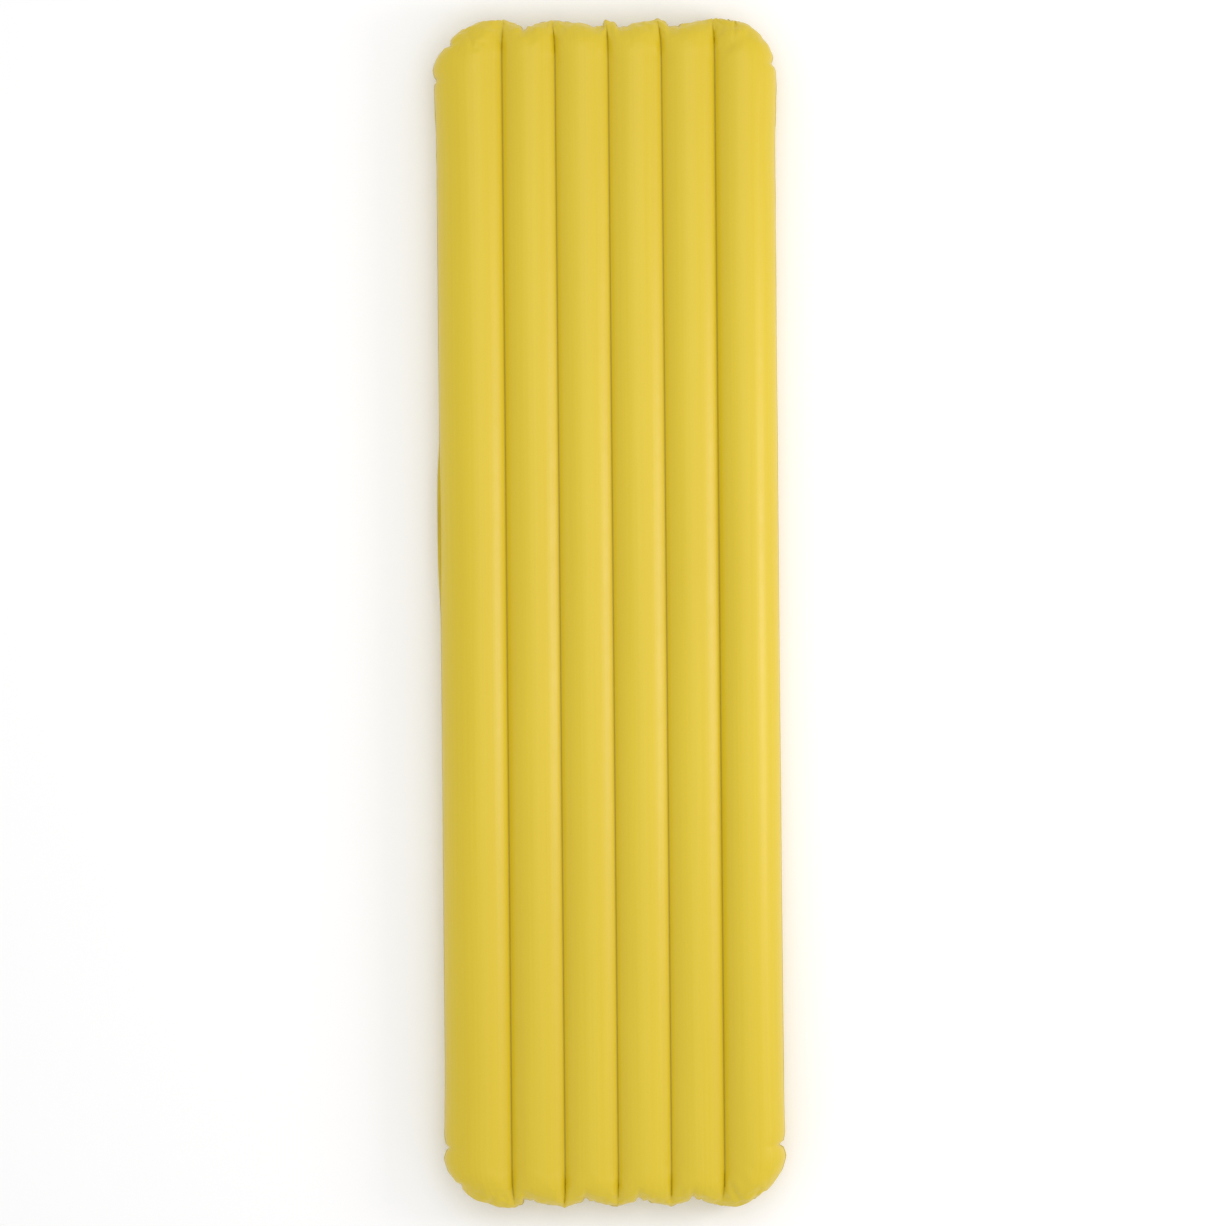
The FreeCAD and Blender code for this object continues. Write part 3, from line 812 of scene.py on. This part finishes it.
def mat_fabric(name, light, dark, weld_and_shade_colour):
    """Thin coated taffeta: satin, finely woven, a little uneven, darker along its welds, a darkening that
    is partly painted shade of the grooves between the tubes.
    """
    shader = Shader(name, Roughness=0.4, Sheen_Weight=0.04, Sheen_Roughness=0.45,
                    Sheen_Tint=(1.0, 0.93, 0.7, 1.0), Specular_IOR_Level=0.58)
    cloth = shader.node("UVMap", uv_map="cloth").outputs["UV"]
    split = shader.node("SeparateXYZ", {0: cloth})
    u, v = split.outputs["X"], split.outputs["Y"]
    patches = shader.noise(2.6, 3.0)
    streaks = shader.node("Mapping", {"Vector": cloth, "Scale": (260.0, 2.2, 1.0)}).outputs[0]
    threads = shader.noise(1.0, 2.0, streaks)
    share = shader.math("MULTIPLY", shader.math("ADD", patches, threads), 0.5)
    colour = shader.blend(shader.between(share, -0.6, 1.6), dark, light)
    weld_and_shade = shader.node("Attribute", attribute_name="weld_and_shade").outputs["Fac"]
    # Painted shade: the weld lines are blended to a dark colour that stands for the shade in the grooves,
    # as well as for the welds themselves.
    colour = shader.blend(weld_and_shade, colour, weld_and_shade_colour)
    shader.feed("Base Color", colour)
    shader.feed("Roughness", shader.between(shader.noise(40.0, 2.0), 0.34, 0.43))
    ribs = shader.math("SINE", shader.math("MULTIPLY", v, 2 * math.pi / WELD_RIB))
    pressed = shader.math("MULTIPLY", shader.math("MULTIPLY", ribs, weld_and_shade), 0.5)
    shader.bumps(
        (shader.noise(9.0, 2.0), 0.002, 0.25),
        (shader.noise(70.0, 3.0), 0.0006, 0.18),
        (pressed, 0.0002, 0.6),
        (weave(shader, u, v), 0.00003, 0.35),
    )
    return shader.material


def strip_fabric(name, light, dark):
    """Fabric without a map of its own, woven along and across its object's Y."""
    shader = Shader(name, Roughness=0.6, Sheen_Weight=0.1, Sheen_Roughness=0.5)
    split = shader.node("SeparateXYZ", {0: shader.place()})
    across = shader.math("ADD", split.outputs["X"], split.outputs["Z"])
    shader.feed("Base Color", shader.blend(shader.noise(30.0, 4.0), dark, light))
    shader.feed("Roughness", shader.between(shader.noise(90.0), 0.5, 0.68))
    shader.bumps(
        (shader.noise(60.0, 3.0), 0.0008, 0.3),
        (weave(shader, across, split.outputs["Y"]), 0.00005, 0.4),
    )
    return shader.material


def rim_fabric():
    """The rim: both sheets pressed into one, with the sealing tool's fine ribs."""
    shader = Shader("mat_rim_weld", Roughness=0.45, Sheen_Weight=0.05, Specular_IOR_Level=0.45)
    split = shader.node("SeparateXYZ", {0: shader.place()})
    slope = shader.math("ADD", split.outputs["X"], split.outputs["Y"])
    ribs = shader.math("SINE", shader.math("MULTIPLY", slope, 2 * math.pi / RIM_RIB))
    tone = shader.noise(18.0, 3.0)
    shader.feed("Base Color", shader.blend(tone, linear(178, 154, 14), linear(204, 180, 26)))
    shader.feed("Roughness", shader.between(shader.noise(120.0), 0.36, 0.52))
    shader.bumps((shader.noise(45.0, 2.0), 0.001, 0.3), (ribs, 0.00012, 0.5))
    return shader.material


def moulded(name, tone, worn, roughness, grain, depth):
    """Moulded plastic: fine spark-eroded grain, faint blotches, paler along worn edges."""
    shader = Shader(name, Roughness=roughness, Specular_IOR_Level=0.45)
    edges = shader.node("NewGeometry").outputs["Pointiness"]
    edge = shader.node("MapRange", {"Value": edges, "From Min": 0.52, "From Max": 0.60}).outputs[0]
    broken = shader.math("MULTIPLY", edge, shader.noise(700.0, 3.0))
    blotches = shader.between(shader.noise(140.0, 4.0), 0.0, 0.35)
    share = shader.math("ADD", shader.math("MULTIPLY", broken, 0.6), shader.math("MULTIPLY", blotches, 0.5))
    shader.feed("Base Color", shader.blend(share, tone, worn))
    shader.feed("Roughness", shader.between(shader.noise(900.0, 2.0), roughness - 0.07, roughness + 0.09))
    shader.bumps((shader.noise(grain, 3.0, roughness=0.65), depth, 0.5),
                 (shader.noise(120.0, 2.0), 0.0002, 0.12))
    return shader.material


def smooth_rubber(name, tone, pale, through):
    """Moulded rubber or silicone, with dust in its pores and a soft waxy sheen."""
    shader = Shader(name, Roughness=0.5, Specular_IOR_Level=0.4, Subsurface_Weight=through,
                    Subsurface_Scale=0.002)
    dust = shader.node("MapRange", {"Value": shader.noise(500.0, 5.0), "From Min": 0.5,
                                    "From Max": 0.8}).outputs[0]
    shader.feed("Base Color", shader.blend(dust, tone, pale))
    shader.feed("Roughness", shader.between(shader.noise(260.0), 0.4, 0.62))
    shader.bumps((shader.noise(1500.0, 3.0), 0.00004, 0.4), (shader.noise(200.0), 0.00015, 0.15))
    return shader.material


def dress(piece, material):
    piece.data.materials.clear()
    piece.data.materials.append(material)


# --- the room ----------------------------------------------------------------------------------


def add_light(name, place, target, width, height, energy, colour=(1, 1, 1)):
    lamp = bpy.data.lights.new(name, "AREA")
    lamp.shape = "RECTANGLE"
    lamp.size, lamp.size_y = width, height
    lamp.energy = energy
    lamp.color = colour
    held = bpy.data.objects.new(name, lamp)
    held.location = place
    held.rotation_euler = (Vector(target) - Vector(place)).to_track_quat("-Z", "Y").to_euler()
    bpy.context.scene.collection.objects.link(held)


def make_room():
    """A plain pale floor, an even white sky, a low soft light to the right and one above."""
    floor = new_object("floor", [(-9, -9, 0), (9, -9, 0), (9, 9, 0), (-9, 9, 0)], [(0, 1, 2, 3)])
    floor.location.z = -0.0002
    paper = Shader("floor_paper", Roughness=0.9, Specular_IOR_Level=0.1)
    tone = paper.blend(paper.noise(1.5, 3.0), (0.94, 0.94, 0.94, 1), (0.96, 0.96, 0.96, 1))
    paper.feed("Base Color", tone)
    paper.bumps((paper.noise(300.0), 0.0002, 0.1))
    dress(floor, paper.material)
    world = bpy.data.worlds.new("studio")
    bpy.context.scene.world = world
    world.use_nodes = True
    sky = world.node_tree.nodes["Background"]
    sky.inputs["Color"].default_value = (1.0, 1.0, 1.0, 1.0)
    sky.inputs["Strength"].default_value = 0.9
    add_light("soft_right", (2.4, 0.0, 1.5), (0, 0, 0), 0.9, 0.9, 19, (1.0, 0.91, 0.93))
    add_light("soft_above", (0.4, 0.5, 2.7), (0, 0.3, 0), 2.5, 2.0, 13)
    bpy.context.scene.view_settings.view_transform = "Standard"


def make_camera():
    """A long lens straight above the mat, turned a trace clockwise."""
    camera = bpy.data.cameras.new("camera")
    camera.lens = 151.7
    camera.sensor_width = 36
    camera.clip_start, camera.clip_end = 0.1, 50
    held = bpy.data.objects.new("camera", camera)
    held.location = (0.0046, 0.0, 8.0)
    held.rotation_euler = (0, 0, math.radians(-0.53))
    bpy.context.scene.collection.objects.link(held)
    bpy.context.scene.camera = held


# --- the whole ---------------------------------------------------------------------------------

make_camera()
make_room()

mat, rim_points, under_rim_points = make_mat()
# The third colour is the dark weld colour: partly the weld line and partly painted shade in the grooves
# between the tubes.
dress(mat, mat_fabric("mat_taffeta", linear(211, 186, 22), linear(206, 179, 16), linear(156, 130, 2)))
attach(mat, "mat")
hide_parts("top_skin", "bottom_skin")

rim_piece = make_rim(rim_points, under_rim_points)
dress(rim_piece, rim_fabric())
rim_piece.parent = mat

baffle_cloth = strip_fabric("baffle_taffeta", linear(226, 225, 216), linear(214, 212, 202))
for k in range(TUBES - 1):
    name = "baffle_%d" % (k + 1)
    strip = make_baffle(name)
    dress(strip, baffle_cloth)
    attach(strip, "mat")
    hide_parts(name)

soft = moulded("valve_soft_plastic", linear(52, 52, 54), linear(98, 98, 98), 0.58, 2600.0, 0.00005)
hard = moulded("valve_hard_plastic", linear(80, 80, 83), linear(128, 128, 128), 0.42, 1800.0, 0.00003)
cap = moulded("valve_lid_plastic", linear(44, 44, 47), linear(104, 104, 104), 0.46, 2200.0, 0.00006)
seal = smooth_rubber("seal_rubber", linear(24, 24, 25), linear(58, 57, 55), 0.0)
silicone = smooth_rubber("flap_silicone", linear(216, 216, 210), linear(196, 194, 186), 0.3)
pressed_sheet = strip_fabric("weld_ring_fabric", linear(186, 165, 34), linear(166, 144, 18))
moulds = {"collar": soft, "strap": soft, "seat": hard, "lid": cap, "seal": seal}
for name, axis in zip(VALVES, VALVE_AXES):
    for part, material in moulds.items():
        dress(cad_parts[name + "_" + part], material)
    ring = make_pressed_ring(name, axis)
    dress(ring, pressed_sheet)
    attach(ring, "mat")
    for detail in make_lid_details(name, axis):
        dress(detail, cap)
        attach(detail, name + "_cap")
dress(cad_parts["inflation_grille"], hard)
dress(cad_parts["inflation_flap"], silicone)

bpy.context.view_layer.update()
